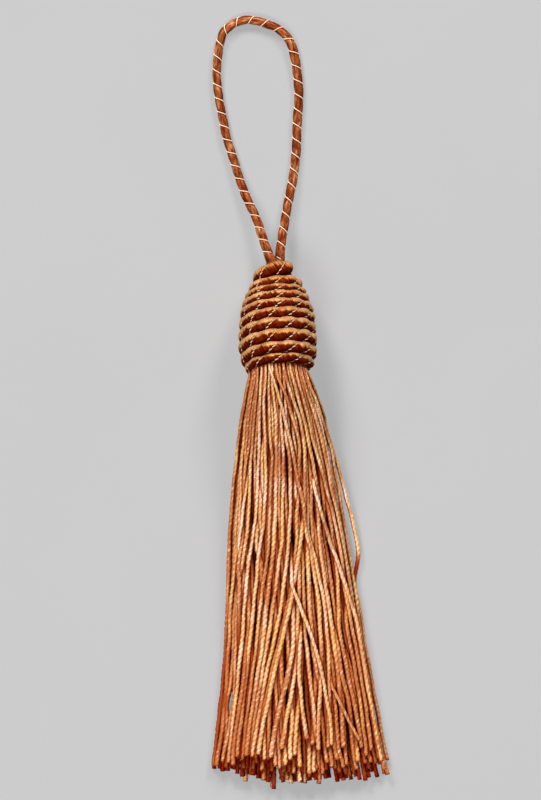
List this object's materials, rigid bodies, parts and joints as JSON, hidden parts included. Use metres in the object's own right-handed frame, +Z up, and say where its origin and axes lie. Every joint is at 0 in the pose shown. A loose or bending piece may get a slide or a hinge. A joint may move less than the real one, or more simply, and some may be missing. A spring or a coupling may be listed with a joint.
{
  "type": "silk tassel",
  "caption": "Silk tassel with a beehive head wound in cord, a thread-wrapped hanging loop and a long skirt of twisted yarns, lying on its back.",
  "frame": {"origin": "centre of the flat spot under the head, where the widest turns bear on the surface", "axes": "+Y along the tassel towards the hanging loop, +Z up from the surface it lies on, +X to the right seen from above with the loop away from the viewer"},
  "size_m": [0.0454, 0.194, 0.0205],
  "materials": {
    "wound_silk": "satin",
    "loop_silk": "satin",
    "skirt_silk": "satin"
  },
  "bodies": {
    "root": {"head_winding": "wound_silk", "hanging_loop": "loop_silk", "skirt": "skirt_silk"}
  },
  "joints": []
}
